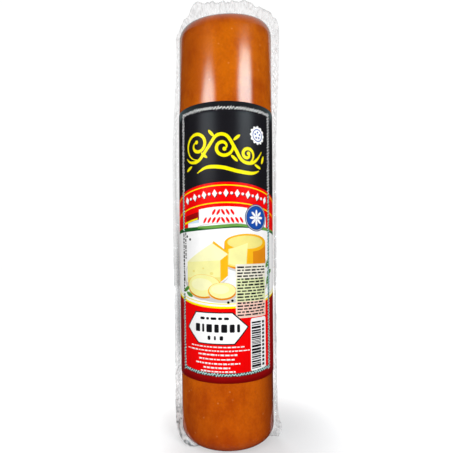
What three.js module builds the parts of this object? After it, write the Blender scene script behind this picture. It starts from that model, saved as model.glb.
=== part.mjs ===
// A smoked provolone log in a clear vacuum pouch, standing on its flat end.
//
// The log is an upright cylinder with a low dome on top and a rounded foot. The pouch is two clear webs
// sealed to each other. They cling to the log, so what stands free is the pouch's rim: a narrow
// crinkled fin up each side, which widens into a gathered tail over the dome and into an ear at each
// corner of the foot. A printed label is stuck to the front web, from one fin to the other.
//
// Millimetres, +Z up. The front faces -Y, and the origin is the middle of the log's flat foot.
import * as THREE from "three";
import { mergeVertices } from "three/addons/utils/BufferGeometryUtils.js";

const { clamp, degToRad, lerp, smoothstep } = THREE.MathUtils;

// The cheese log
const LOG_HEIGHT = 443.4;
const LOG_RADIUS = 50.5;
const FOOT_ROUND = 14; // radius of the edge between the foot and the side
const SHOULDER_ROUND = 14;
const DOME_SLOPE = degToRad(7); // of the dome where it meets the shoulder
const DOME_TILT = 0.045; // rise of the top for each mm to the right
const SADDLE = 6; // rise of the top at either fin, where the pouch's seam draws it up
const DOME_TILT_HEIGHT = 60; // the part under the top that takes up the tilt and the saddle
const BELLY = 0.7; // how much wider the log is at its widest
const BELLY_HEIGHT = 290;
const BELLY_REACH = 130;
const OVALNESS = 0.003; // share by which the section is wider from front to back
const BOW = 0.6; // how far the middle of the log bends to the left
const LOG_SEGMENTS = 72;
const SIDE_STEPS = 14;
const ARC_POINTS = 8; // on each of the outline's arcs

// The label
const LABEL_BOTTOM = 72;
const LABEL_TOP = 349;
const LABEL_HALF_WRAP = degToRad(86); // its edges stop just short of the fins
const LABEL_CORNER = 8;
const LABEL_THICKNESS = 0.5;
const LABEL_COLUMNS = 40;
const CORNER_COLUMNS = 5;
const LABEL_ROWS = 10;
const CLEARANCE = 0.3; // between neighbouring pieces

// The pouch's free rim. A place on it is a share of the way from the dome's middle, 0, down the side
// to the foot, 1, negative on the left. Spans from here on are in such shares.
const RIM_THICKNESS = 1.2; // two webs and the air between their crinkles
const FIN_WIDTHS = { left: [3.4, 7.8], right: [8.6, 4.8] }; // under the shoulder, and lower down
const FIN_BLEND = [0.12, 0.38];
const FIN_RUFFLE = 0.9;
const FIN_RUFFLE_LENGTH = 26;
const TAIL_HEIGHT = 29.5; // of the gathered tail that stands up over the dome
const TAIL_ENDS = { left: [0.056, 0.1], right: [0.03, 0.12] }; // where it falls to the fin's width
const TAIL_SPAN = 0.14;
const TAIL_LEAN = 9; // how far the tail's edge leans to the front
const TAIL_RUFFLE = 2.6; // height of the tail's gathers, front to back
const TAIL_RUFFLE_LENGTH = 13;
const EAR_WIDTHS = { left: -1.5, right: 4.5 }; // what the ear at the foot adds to its fin's width
const EAR_BLEND = [0.94, 0.975];
const EAR_CURLS = { left: 44, right: 12 }; // degrees that an ear folds round the foot to the front
const EAR_CURL_BLEND = { left: [0.95, 1], right: [0.92, 0.96] };
const FOOT_START = degToRad(22); // the rim begins this far round the foot's edge
const FLOOR_GAP = 0.8; // the rim's lowest points stay this far above the floor
const FIN_SAMPLES = 60;
const FOOT_CROWDING = 1.7; // a power above 1 puts more of a fin's samples near the foot
const TAIL_SAMPLES = 56;
const RIM_STEPS = 4;

// Half of the log's outline, from start radians round the foot's edge up to the dome's middle.
function halfOutline(start = 0) {
  const domeRim = LOG_RADIUS - SHOULDER_ROUND;
  const domeRadius = domeRim / Math.sin(DOME_SLOPE) + SHOULDER_ROUND;
  const domeMiddle = LOG_HEIGHT - domeRadius;
  const shoulder = domeMiddle + (domeRadius - SHOULDER_ROUND) * Math.cos(DOME_SLOPE);
  const domeStart = Math.PI / 2 - DOME_SLOPE;
  const sideBottom = new THREE.Vector2(LOG_RADIUS, FOOT_ROUND);
  const sideTop = new THREE.Vector2(LOG_RADIUS, shoulder);
  const side = new THREE.LineCurve(sideBottom, sideTop).getPoints(SIDE_STEPS);
  const arc = (...shape) => new THREE.ArcCurve(...shape).getPoints(ARC_POINTS);
  return [
    ...arc(LOG_RADIUS - FOOT_ROUND, FOOT_ROUND, FOOT_ROUND, start - Math.PI / 2, 0),
    ...side.slice(1, -1),
    ...arc(domeRim, shoulder, SHOULDER_ROUND, 0, domeStart).slice(0, -1),
    ...arc(0, domeMiddle, domeRadius, domeStart, Math.PI / 2),
  ];
}

// The pieces are first laid out on a true cylinder. This gives them the log's own unevenness: a soft
// belly, a slightly oval section, a faint bow, and a top that is drawn up at the fins and not quite level.
function settle(geometry) {
  const position = geometry.getAttribute("position");
  const point = new THREE.Vector3();
  for (let i = 0; i < position.count; i++) {
    point.fromBufferAttribute(position, i);
    const swell = BELLY * Math.exp(-(((point.z - BELLY_HEIGHT) / BELLY_REACH) ** 2));
    const width = 1 + swell / LOG_RADIUS;
    const bow = BOW * Math.sin((Math.PI * clamp(point.z, 0, LOG_HEIGHT)) / LOG_HEIGHT);
    const nearTop = smoothstep(point.z, LOG_HEIGHT - DOME_TILT_HEIGHT, LOG_HEIGHT);
    const rise = DOME_TILT * point.x + SADDLE * clamp(point.x / LOG_RADIUS, -1, 1) ** 2;
    position.setXYZ(
      i,
      point.x * width * (1 - OVALNESS) - bow,
      point.y * width * (1 + OVALNESS),
      point.z + rise * nearTop,
    );
  }
  return geometry;
}

function logGeometry() {
  const profile = [new THREE.Vector2(0, 0), ...halfOutline()];
  profile.at(-1).x = 0;
  const turned = new THREE.LatheGeometry(profile, LOG_SEGMENTS).rotateX(Math.PI / 2);
  turned.deleteAttribute("normal");
  turned.deleteAttribute("uv");
  return settle(mergeVertices(turned));
}

// A thin closed solid of two sheets of (columns + 1) by (rows + 1) points, both split into triangles
// alike. The points are the front sheet's and then the back one's, column by column.
function thinSolid(points, columns, rows) {
  const triangles = [];
  const sheet = (columns + 1) * (rows + 1);
  const front = (i, j) => i * (rows + 1) + j;
  const back = (i, j) => sheet + front(i, j);
  const quad = (a, b, c, d) => triangles.push(a, b, c, a, c, d);
  for (let i = 0; i < columns; i++) {
    for (let j = 0; j < rows; j++) {
      quad(front(i, j), front(i + 1, j), front(i + 1, j + 1), front(i, j + 1));
      quad(back(i, j), back(i, j + 1), back(i + 1, j + 1), back(i + 1, j));
    }
    quad(front(i + 1, 0), front(i, 0), back(i, 0), back(i + 1, 0));
    quad(front(i, rows), front(i + 1, rows), back(i + 1, rows), back(i, rows));
  }
  for (let j = 0; j < rows; j++) {
    quad(front(0, j), front(0, j + 1), back(0, j + 1), back(0, j));
    quad(front(columns, j + 1), front(columns, j), back(columns, j), back(columns, j + 1));
  }
  return new THREE.BufferGeometry().setFromPoints(points).setIndex(triangles);
}

// The label's columns as angles from its middle, closer together across its round corners.
function labelAngles() {
  const corner = LABEL_CORNER / LOG_RADIUS;
  const angles = [];
  for (let i = 0; i < CORNER_COLUMNS; i++)
    angles.push(-LABEL_HALF_WRAP + corner * (i / CORNER_COLUMNS) ** 2);
  const middle = LABEL_HALF_WRAP - corner;
  for (let i = 0; i <= LABEL_COLUMNS; i++) angles.push(lerp(-middle, middle, i / LABEL_COLUMNS));
  return [...angles, ...angles.slice(0, CORNER_COLUMNS).toReversed().map((angle) => -angle)];
}

function labelGeometry() {
  const angles = labelAngles();
  const points = [];
  for (const reach of [CLEARANCE + LABEL_THICKNESS, CLEARANCE])
    for (const angle of angles) {
      const fromEdge = (LABEL_HALF_WRAP - Math.abs(angle)) * LOG_RADIUS;
      const cut = LABEL_CORNER - Math.min(fromEdge, LABEL_CORNER);
      const drop = LABEL_CORNER - Math.sqrt(LABEL_CORNER ** 2 - cut ** 2);
      for (let j = 0; j <= LABEL_ROWS; j++) {
        const z = lerp(LABEL_BOTTOM + drop, LABEL_TOP - drop, j / LABEL_ROWS);
        const radius = LOG_RADIUS + reach;
        points.push(new THREE.Vector3(radius * Math.sin(angle), -radius * Math.cos(angle), z));
      }
    }
  return settle(thinSolid(points, angles.length - 1, LABEL_ROWS));
}

// How wide the rim is at a place on it: a fin, with the tail or an ear added to it.
function rimWidth(place) {
  const side = place < 0 ? "left" : "right";
  const from = Math.abs(place);
  const fin = lerp(...FIN_WIDTHS[side], smoothstep(from, ...FIN_BLEND));
  const tail = 1 - smoothstep(from, ...TAIL_ENDS[side]);
  return lerp(fin, TAIL_HEIGHT, tail) + EAR_WIDTHS[side] * smoothstep(from, ...EAR_BLEND);
}

// The rim's places from the left foot to the right foot, closer together at the feet and on the tail.
function rimPlaces() {
  const left = [];
  for (let i = 0; i < FIN_SAMPLES; i++)
    left.push(-lerp(1, TAIL_SPAN, (i / FIN_SAMPLES) ** FOOT_CROWDING));
  const tail = [];
  for (let i = 0; i <= TAIL_SAMPLES; i++) tail.push(lerp(-TAIL_SPAN, TAIL_SPAN, i / TAIL_SAMPLES));
  return [...left, ...tail, ...left.toReversed().map((place) => -place)];
}

// How far a fin or the tail waves to the front and back, at a distance in mm along the rim.
function ruffle(distance, waveLength, height) {
  const turn = (2 * Math.PI * distance) / waveLength;
  return height * (Math.sin(turn) + 0.5 * Math.sin(2.15 * turn + 1));
}

// A point of the rim: outward runs from 0 at its root to 1 at its edge, and side is -1 on the front
// web and 1 on the back one.
function rimPoint(outline, length, place, outward, side) {
  const along = 1 - Math.abs(place);
  const root = outline.getPointAt(along);
  const run = outline.getTangentAt(along);
  const reach = CLEARANCE + outward * rimWidth(place);
  const distance = place * length;
  const tail = 1 - smoothstep(Math.abs(place), TAIL_SPAN * 0.7, TAIL_SPAN);
  const wave = lerp(
    ruffle(distance, FIN_RUFFLE_LENGTH, FIN_RUFFLE),
    ruffle(distance, TAIL_RUFFLE_LENGTH, TAIL_RUFFLE) - TAIL_LEAN * outward,
    tail,
  );
  const point = new THREE.Vector3(
    Math.sign(place || 1) * (root.x + reach * run.y),
    outward * wave + (side * RIM_THICKNESS) / 2,
    Math.max(root.y - reach * run.x, FLOOR_GAP),
  );
  const name = place < 0 ? "left" : "right";
  const curl = degToRad(EAR_CURLS[name]) * smoothstep(Math.abs(place), ...EAR_CURL_BLEND[name]);
  return point.applyAxisAngle(new THREE.Vector3(0, 0, 1), place < 0 ? curl : -curl);
}

function rimGeometry() {
  const outline = new THREE.Path(halfOutline(FOOT_START));
  const length = outline.getLength();
  const places = rimPlaces();
  const points = [];
  for (const side of [-1, 1])
    for (const place of places)
      for (let j = 0; j <= RIM_STEPS; j++)
        points.push(rimPoint(outline, length, place, j / RIM_STEPS, side));
  return settle(thinSolid(points, places.length - 1, RIM_STEPS));
}

function piece(name, geometry, look) {
  geometry.computeVertexNormals();
  const mesh = new THREE.Mesh(geometry, new THREE.MeshStandardMaterial({ metalness: 0, ...look }));
  mesh.name = name;
  return mesh;
}

const clearFilm = { color: 0xe8eaec, roughness: 0.15, transparent: true, opacity: 0.4 };

const part = new THREE.Group();
part.add(
  piece("cheese_log", logGeometry(), { color: 0xc4620f, roughness: 0.35 }),
  piece("label", labelGeometry(), { color: 0xd80f10, roughness: 0.4 }),
  piece("vacuum_pouch_rim", rimGeometry(), clearFilm),
);

export default part;
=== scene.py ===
import math
import random

import bmesh
import bpy
import numpy as np
from mathutils import Matrix, Vector, noise
from mathutils.geometry import delaunay_2d_cdt


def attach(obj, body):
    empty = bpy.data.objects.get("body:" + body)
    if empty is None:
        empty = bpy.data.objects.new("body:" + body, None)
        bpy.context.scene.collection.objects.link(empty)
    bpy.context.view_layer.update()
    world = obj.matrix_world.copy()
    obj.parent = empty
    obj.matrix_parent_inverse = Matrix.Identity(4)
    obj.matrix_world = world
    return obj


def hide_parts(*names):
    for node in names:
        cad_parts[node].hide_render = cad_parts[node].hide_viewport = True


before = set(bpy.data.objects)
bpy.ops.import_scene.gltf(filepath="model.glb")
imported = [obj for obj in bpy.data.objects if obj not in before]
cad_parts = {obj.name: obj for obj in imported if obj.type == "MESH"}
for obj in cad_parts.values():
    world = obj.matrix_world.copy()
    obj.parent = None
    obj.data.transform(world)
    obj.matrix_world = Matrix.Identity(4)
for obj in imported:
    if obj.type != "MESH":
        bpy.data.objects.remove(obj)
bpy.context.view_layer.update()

MM = 0.001

# The log, as in the frame
LOG_HEIGHT = 443.4
LOG_RADIUS = 50.5
FOOT_ROUND = 14.0
SHOULDER_ROUND = 14.0
DOME_SLOPE = math.radians(7)
DOME_TILT = 0.045
DOME_TILT_HEIGHT = 60.0
SADDLE = 6.0
BELLY = 0.7
BELLY_HEIGHT = 290.0
BELLY_REACH = 130.0
OVALNESS = 0.003
BOW = 0.6
LOG_RINGS = 190
LOG_SEGMENTS = 220
RIND_UNEVENNESS = 0.22
RIND_LUMPS = 0.035
WELD_DISTANCE = 0.001

# The label
LABEL_BOTTOM = 72.0
LABEL_HEIGHT = 277.0
LABEL_RADIUS = 51.3
LABEL_HALF_WIDTH = math.radians(86) * LABEL_RADIUS
LABEL_CORNER = 8.0
LABEL_LIFT = 0.5
LABEL_THICKNESS = 0.3
LABEL_CELL = (2.5, 11.0)
INK_DEPTH = 0.05

# The pouch's rim. A place on it is a share of the way from the dome's middle, 0, down the side to
# the foot, 1, negative on the left. Spans are in such shares. Where the sides differ, -1 is the left.
FILM_LIFT = 0.12
FIN_WIDTHS = {-1: (3.4, 7.8), 1: (8.6, 4.8)}
FIN_BLEND = (0.12, 0.38)
FIN_RUFFLE = 0.9
FIN_RUFFLE_LENGTH = 26.0
TAIL_HEIGHT = 29.5
TAIL_ENDS = {-1: (0.056, 0.1), 1: (0.03, 0.12)}
TAIL_SPAN = 0.14
TAIL_LEAN = 9.0
TAIL_RUFFLE = 2.6
TAIL_RUFFLE_LENGTH = 13.0
EAR_WIDTHS = {-1: -1.5, 1: 4.5}
EAR_BLEND = (0.94, 0.975)
EAR_CURLS = {-1: math.radians(44), 1: math.radians(-12)}
EAR_CURL_BLEND = {-1: (0.95, 1.0), 1: (0.92, 0.96)}
FOOT_START = math.radians(22)
FLOOR_GAP = 0.8
RIM_COLUMNS = 1500
RIM_ROWS = 16
SEAL_THICKNESS = 0.35
WEB_GAP = 2.4
WEB_GAP_REACH = 3.2
SKIN_RINGS = 150
SKIN_SEGMENTS = 180
SKIN_LOWEST = 0.02

# The ears' film: how hazy it is before its crumples, and how much painted shade these crumples give it
EAR_HAZE = {-1: 0.62, 1: 0.44}
EAR_PAINTED_SHADE = {-1: 1.15, 1: 0.12}


# ------------ form


def smoothstep(value, low, high):
    share = np.clip((value - low) / (high - low), 0, 1)
    return share * share * (3 - 2 * share)


def lerp(a, b, share):
    return a + (b - a) * share


def polar(middle, reach, angle):
    return (middle[0] + reach * math.cos(angle), middle[1] + reach * math.sin(angle))


def arc(middle, radius, start, end, count):
    return [polar(middle, radius, angle) for angle in np.linspace(start, end, count)]


def half_outline(start=0.0, arc_points=40):
    """Half of the log's outline, from start radians round the foot's edge up to the dome's middle."""
    dome_rim = LOG_RADIUS - SHOULDER_ROUND
    dome_radius = dome_rim / math.sin(DOME_SLOPE) + SHOULDER_ROUND
    dome_middle = LOG_HEIGHT - dome_radius
    shoulder = dome_middle + (dome_radius - SHOULDER_ROUND) * math.cos(DOME_SLOPE)
    dome_start = math.pi / 2 - DOME_SLOPE
    foot = arc((LOG_RADIUS - FOOT_ROUND, FOOT_ROUND), FOOT_ROUND, start - math.pi / 2, 0, arc_points)
    edge = arc((dome_rim, shoulder), SHOULDER_ROUND, 0, dome_start, arc_points)
    dome = arc((0, dome_middle), dome_radius, dome_start, math.pi / 2, arc_points)
    return np.array(foot + edge + dome[1:])


class Walk:
    """Points and directions along an outline, by share of its length."""

    def __init__(self, outline):
        steps = np.hypot(*np.diff(outline, axis=0).T)
        self.length = steps.sum()
        self.shares = np.concatenate([[0], np.cumsum(steps)]) / self.length
        self.outline = outline

    def point(self, share):
        return np.stack([np.interp(share, self.shares, column) for column in self.outline.T], -1)

    def direction(self, share, step=0.0015):
        ahead = self.point(np.clip(share + step, 0, 1)) - self.point(np.clip(share - step, 0, 1))
        return ahead / np.hypot(ahead[..., 0], ahead[..., 1])[..., None]


def settle(points):
    """Gives points on a true cylinder the log's own unevenness: belly, oval, bow and tilted top."""
    x, y, z = points[..., 0], points[..., 1], points[..., 2]
    swell = BELLY * np.exp(-(((z - BELLY_HEIGHT) / BELLY_REACH) ** 2))
    width = 1 + swell / LOG_RADIUS
    bow = BOW * np.sin(math.pi * np.clip(z, 0, LOG_HEIGHT) / LOG_HEIGHT)
    near_top = smoothstep(z, LOG_HEIGHT - DOME_TILT_HEIGHT, LOG_HEIGHT)
    rise = DOME_TILT * x + SADDLE * np.clip(x / LOG_RADIUS, -1, 1) ** 2
    settled = [x * width * (1 - OVALNESS) - bow, y * width * (1 + OVALNESS), z + rise * near_top]
    return np.stack(settled, -1)


def wrapped(flat, lift):
    """Flat print places (across, up) laid round the front of the log, lift above its surface."""
    flat = np.asarray(flat, float)
    angle = flat[:, 0] / LABEL_RADIUS
    radius = LOG_RADIUS + lift
    points = [radius * np.sin(angle), -radius * np.cos(angle), LABEL_BOTTOM + flat[:, 1]]
    return settle(np.stack(points, -1))


# ------------ node trees


class Quantity:
    """A number in a node tree. A sum with it adds a Math node to the tree."""

    def __init__(self, tree, socket):
        self.tree = tree
        self.socket = socket

    def math(self, operation, *others):
        node = self.tree.nodes.new("ShaderNodeMath")
        node.operation = operation
        for socket, value in zip(node.inputs, (self, *others)):
            put(self.tree, socket, value)
        return Quantity(self.tree, node.outputs[0])

    def __add__(self, other):
        return self.math("ADD", other)

    def __sub__(self, other):
        return self.math("SUBTRACT", other)

    def __mul__(self, other):
        return self.math("MULTIPLY", other)

    def __truediv__(self, other):
        return self.math("DIVIDE", other)


def put(tree, socket, value):
    """Links an input to another node's output or to a Quantity, or sets it to a value."""
    if isinstance(value, Quantity):
        value = value.socket
    if isinstance(value, bpy.types.NodeSocket):
        tree.links.new(value, socket)
    else:
        socket.default_value = value


def feed(tree, node, **inputs):
    """Puts a value or a link on each named input, with _ for a space in its name."""
    for name, value in inputs.items():
        put(tree, node.inputs[name.replace("_", " ")], value)


def add_node(tree, kind, settings=None, **inputs):
    """A new node with its settings and inputs."""
    node = tree.nodes.new(kind)
    for name, value in (settings or {}).items():
        setattr(node, name, value)
    feed(tree, node, **inputs)
    return node


def parts(tree, vector):
    """The three parts of a vector, as Quantities."""
    node = add_node(tree, "ShaderNodeSeparateXYZ", Vector=vector)
    return [Quantity(tree, socket) for socket in node.outputs]


def joined(tree, x=0.0, y=0.0, z=0.0):
    """A vector made of three parts."""
    return add_node(tree, "ShaderNodeCombineXYZ", X=x, Y=y, Z=z).outputs["Vector"]


def remap(tree, value, start, end, low=0.0, high=1.0, kind="SMOOTHSTEP"):
    """A Quantity that is low where the value is at start, and high where it is at end."""
    settings = {"interpolation_type": kind}
    node = add_node(tree, "ShaderNodeMapRange", settings, Value=value, From_Min=start, From_Max=end)
    feed(tree, node, To_Min=low, To_Max=high)
    return Quantity(tree, node.outputs["Result"])


def object_place(tree):
    return add_node(tree, "ShaderNodeTexCoord").outputs["Object"]


def attribute(tree, name):
    """A mesh attribute that was stored with store()."""
    node = add_node(tree, "ShaderNodeAttribute", {"attribute_name": name})
    return Quantity(tree, node.outputs["Fac"])


def store(mesh, name, values):
    """Stores a number for each point of a mesh."""
    mesh.attributes.new(name, "FLOAT", "POINT").data.foreach_set("value", values)


def noise_field(tree, scale, detail=4.0, roughness=0.55, stretch=(1, 1, 1), offset=(0, 0, 0)):
    """A noise value on Object coordinates, stretched along the axes and moved by offset."""
    place = add_node(
        tree, "ShaderNodeMapping", Vector=object_place(tree), Location=offset, Scale=stretch
    ).outputs["Vector"]
    node = add_node(tree, "ShaderNodeTexNoise", Vector=place, Scale=scale, Detail=detail)
    feed(tree, node, Roughness=roughness)
    return Quantity(tree, node.outputs["Fac"])


def ramp(tree, value, stops):
    """A colour ramp over value, with stops of (position, colour)."""
    node = add_node(tree, "ShaderNodeValToRGB", Fac=value)
    elements = node.color_ramp.elements
    while len(elements) < len(stops):
        elements.new(0.5)
    for element, (position, colour) in zip(elements, stops):
        element.position = position
        element.color = colour
    return node.outputs["Color"]


def mixed(tree, amount, first, second, blend="MIX"):
    """The first colour with an amount of the second. Colours are a Mix node's inputs 6 and 7."""
    node = add_node(tree, "ShaderNodeMix", {"data_type": "RGBA", "blend_type": blend})
    for index, value in ((0, amount), (6, first), (7, second)):
        put(tree, node.inputs[index], value)
    return node.outputs[2]


def bumped(tree, shader, height, strength, distance):
    bump = add_node(tree, "ShaderNodeBump", Height=height, Strength=strength, Distance=distance)
    feed(tree, shader, Normal=bump.outputs["Normal"])


# ------------ colours and materials


def shade(red, green, blue):
    """A display colour of 0 to 255 as the linear colour that a shader takes."""

    def linear(value):
        value /= 255
        return value / 12.92 if value <= 0.04045 else ((value + 0.055) / 1.055) ** 2.4

    return (linear(red), linear(green), linear(blue), 1.0)


def scaled(colour, factor):
    return (*(min(1.0, channel * factor) for channel in colour[:3]), 1.0)


WHITE = (1, 1, 1, 1)
BLACK = (0, 0, 0, 1)

# The rind's colour by share of its height, darker towards the foot and with painted shade on the
# shoulder in its top stops, and what its smoke, its grain and its bubbles do to it
RIND_BY_HEIGHT = [
    (0.0, shade(190, 76, 6)),
    (0.05, shade(206, 94, 3)),
    (0.3, shade(214, 103, 2)),
    (0.8, shade(207, 104, 1)),
    (0.955, shade(204, 103, 2)),
    # Painted shade: the shoulder and the dome's top are a darker brown
    (0.985, shade(166, 71, 5)),
    (1.0, shade(172, 76, 5)),
]
SMOKE_BLOTCHES = [(0.38, (0.7, 0.5, 0.42, 1)), (0.5, (0.9, 0.82, 0.8, 1)), (0.58, WHITE)]
SMOKE_STREAKS = [(0.36, (0.82, 0.74, 0.7, 1)), (0.56, WHITE)]
RIND_GRAIN = [(0.33, (0.74, 0.68, 0.66, 1)), (0.6, WHITE)]
BUBBLE_STOPS = [(0.03, WHITE), (0.1, BLACK)]
BUBBLE_STRENGTH = 0.22
BUBBLE_COLOUR = shade(240, 180, 110)

# Patches of painted shade on the rind: low on its right edge, high on its left side and on the left of
# its foot. Each: across the log and up it, from where it starts to where it is full, and its tint
RIND_PAINTED_SHADE = (
    ((0.028, 0.05), (0.15, 0.1), (0.43, 0.3, 0.6, 1)),
    ((-0.01, -0.03), (0.33, 0.37), (0.8, 0.68, 1, 1)),
    ((-0.006, -0.02), (0.05, 0.022), (0.84, 0.8, 1, 1)),
)

# Where its surface faces up, by the normal's height, the dome is paler, back towards the sides' colour,
# which takes the height ramp's painted shade off its top
DOME_FACING = (0.86, 0.99)
DOME_TINT = (1.6, 1.75, 1.2, 1)

PAPER_ROUGHNESS = (0.26, 0.34)
# The film's white, and the grey that its painted shade takes it to in creases, seals and edges
FILM_WHITE = (0.9, 0.91, 0.92, 1)
FILM_GREY = (0.12, 0.125, 0.13, 1)


def new_material(name):
    """A material, its node tree and its Principled shader."""
    material = bpy.data.materials.new(name)
    material.use_nodes = True
    tree = material.node_tree
    return material, tree, tree.nodes["Principled BSDF"]


def rind_material():
    """Smoked rind under film drawn tight: mottled orange brown, with painted shade on its shoulder and
    in patches at its sides, and the film's gloss as a coat.
    """
    material, tree, shader = new_material("smoked_rind")
    x, _, z = parts(tree, object_place(tree))
    colour = ramp(tree, z / (LOG_HEIGHT * MM), RIND_BY_HEIGHT)
    fine = noise_field(tree, 480, 3.0, 0.7)
    for cloud, stops, amount in (
        (noise_field(tree, 30, 6.0, 0.6, (1, 1, 0.8), (0.31, 0.12, 0)), SMOKE_BLOTCHES, 0.85),
        (noise_field(tree, 85, 4.0, 0.6, (1, 1, 0.2), (0.05, 0.4, 0.2)), SMOKE_STREAKS, 0.4),
        (fine, RIND_GRAIN, 0.6),
    ):
        colour = mixed(tree, amount, colour, ramp(tree, cloud, stops), "MULTIPLY")
    bubbles = add_node(tree, "ShaderNodeTexVoronoi", Vector=object_place(tree), Scale=80.0)
    speck = Quantity(tree, ramp(tree, bubbles.outputs["Distance"], BUBBLE_STOPS))
    colour = mixed(tree, speck * BUBBLE_STRENGTH, colour, BUBBLE_COLOUR)
    # Painted shade: darkens the rind in patches at its sides and foot
    for across, up, tint in RIND_PAINTED_SHADE:
        amount = remap(tree, x, *across) * remap(tree, z, *up)
        colour = mixed(tree, amount, colour, mixed(tree, 1.0, colour, tint, "MULTIPLY"))
    normal = add_node(tree, "ShaderNodeNewGeometry").outputs["Normal"]
    on_top = remap(tree, parts(tree, normal)[2], *DOME_FACING)
    colour = mixed(tree, 1.0, colour, mixed(tree, on_top, WHITE, DOME_TINT), "MULTIPLY")
    feed(tree, shader, Base_Color=colour, Roughness=0.6, Specular_IOR_Level=0.0)
    feed(tree, shader, Coat_Weight=1.0, Coat_Roughness=0.14)
    bumped(tree, shader, fine, 0.15, 0.0004)
    return material


def ink_material(name, colour):
    """Printed paper: its ink's colour, slightly uneven, with a low satin gloss."""
    material, tree, shader = new_material(name)
    stops = [(0.3, scaled(colour, 0.93)), (0.7, scaled(colour, 1.05))]
    uneven = ramp(tree, noise_field(tree, 55, 4.0, 0.6), stops)
    fibre = noise_field(tree, 900, 3.0, 0.6)
    gloss = remap(tree, fibre, 0.0, 1.0, *PAPER_ROUGHNESS, "LINEAR")
    feed(tree, shader, Base_Color=uneven, Roughness=gloss, Specular_IOR_Level=0.08)
    bumped(tree, shader, fibre, 0.05, 0.0002)
    return material


def film_material():
    """Clear film: as see-through as its haze attribute says, greyer where painted shade marks its
    creases, seals and edges.
    """
    material, tree, shader = new_material("clear_film")
    colour = ramp(tree, attribute(tree, "painted_film_shade"), [(0.0, FILM_WHITE), (1.0, FILM_GREY)])
    patchy = noise_field(tree, 700, 3.0, 0.6) * 0.5 + 0.75
    feed(tree, shader, Base_Color=colour, Alpha=attribute(tree, "haze") * patchy)
    feed(tree, shader, Roughness=0.2, Specular_IOR_Level=0.6)
    return material


INKS = {
    "black": shade(24, 23, 27),
    "red": shade(243, 0, 2),
    "dark_red": shade(150, 6, 8),
    "yellow": shade(255, 236, 0),
    "white": shade(253, 253, 253),
    "plate": shade(238, 240, 243),
    "pale_sky": shade(200, 226, 240),
    "blue": shade(24, 78, 170),
    "dark_blue": shade(16, 40, 104),
    "silver": shade(176, 186, 200),
    "green": shade(104, 160, 70),
    "dark_green": shade(24, 92, 34),
    "cream": shade(246, 242, 164),
    "pale_cream": shade(248, 246, 192),
    "gold": shade(248, 184, 26),
    "amber": shade(226, 138, 20),
    "shadow": shade(206, 204, 200),
    "teal": shade(190, 232, 228),
    "dark_teal": shade(30, 62, 64),
    "grey": shade(236, 236, 236),
    "table_top": shade(240, 236, 218),
    "table_middle": shade(222, 230, 178),
    "table_foot": shade(246, 206, 190),
    "butter": shade(240, 228, 134),
}
materials = {name: ink_material("ink_" + name, colour) for name, colour in INKS.items()}


# ------------ Geometry Nodes


def add_object(name, data):
    made = bpy.data.objects.new(name, data)
    bpy.context.scene.collection.objects.link(made)
    return made


def new_tree(name, inputs):
    """A Geometry Nodes tree with a geometry going in and out, and the named inputs beside it."""
    tree = bpy.data.node_groups.new(name, "GeometryNodeTree")
    for label, kind in {"Geometry": "Geometry", **inputs}.items():
        tree.interface.new_socket(label, in_out="INPUT", socket_type="NodeSocket" + kind)
    tree.interface.new_socket("Geometry", in_out="OUTPUT", socket_type="NodeSocketGeometry")
    return tree, tree.nodes.new("NodeGroupInput").outputs


def mesh_place(tree):
    return add_node(tree, "GeometryNodeInputPosition").outputs["Position"]


def settled(tree, x, y, z):
    """The nodes of settle(): the log's own unevenness for a point of a true cylinder."""
    away = (z - BELLY_HEIGHT) / BELLY_REACH
    bulge = (away * away * -1.0).math("EXPONENT")
    width = bulge * (BELLY / LOG_RADIUS) + 1.0
    height = z.math("MAXIMUM", 0.0).math("MINIMUM", LOG_HEIGHT)
    bow = (height * (math.pi / LOG_HEIGHT)).math("SINE") * BOW
    near_top = remap(tree, z, LOG_HEIGHT - DOME_TILT_HEIGHT, LOG_HEIGHT)
    side = (x / LOG_RADIUS).math("ABSOLUTE").math("MINIMUM", 1.0)
    rise = (x * DOME_TILT + side * side * SADDLE) * near_top
    return joined(tree, x * width * (1 - OVALNESS) - bow, y * width * (1 + OVALNESS), z + rise)


def close_tree(tree, geometry, material):
    """Ends a tree in Realize Instances and Set Material."""
    real = add_node(tree, "GeometryNodeRealizeInstances", Geometry=geometry).outputs["Geometry"]
    finished = add_node(tree, "GeometryNodeSetMaterial", Geometry=real, Material=material)
    add_node(tree, "NodeGroupOutput", Geometry=finished.outputs["Geometry"])


def grow(name, base, tree, values):
    """Runs a tree on a base mesh, and returns the result as a plain mesh."""
    holder = add_object(name + "_base", base)
    modifier = holder.modifiers.new("nodes", "NODES")
    modifier.node_group = tree
    for socket in tree.interface.items_tree:
        if socket.in_out == "INPUT" and socket.name in values:
            modifier[socket.identifier] = values[socket.name]
    holder.update_tag()
    graph = bpy.context.evaluated_depsgraph_get()
    graph.update()
    mesh = bpy.data.meshes.new_from_object(holder.evaluated_get(graph))
    bpy.data.objects.remove(holder)
    mesh.name = name
    return mesh


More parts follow.
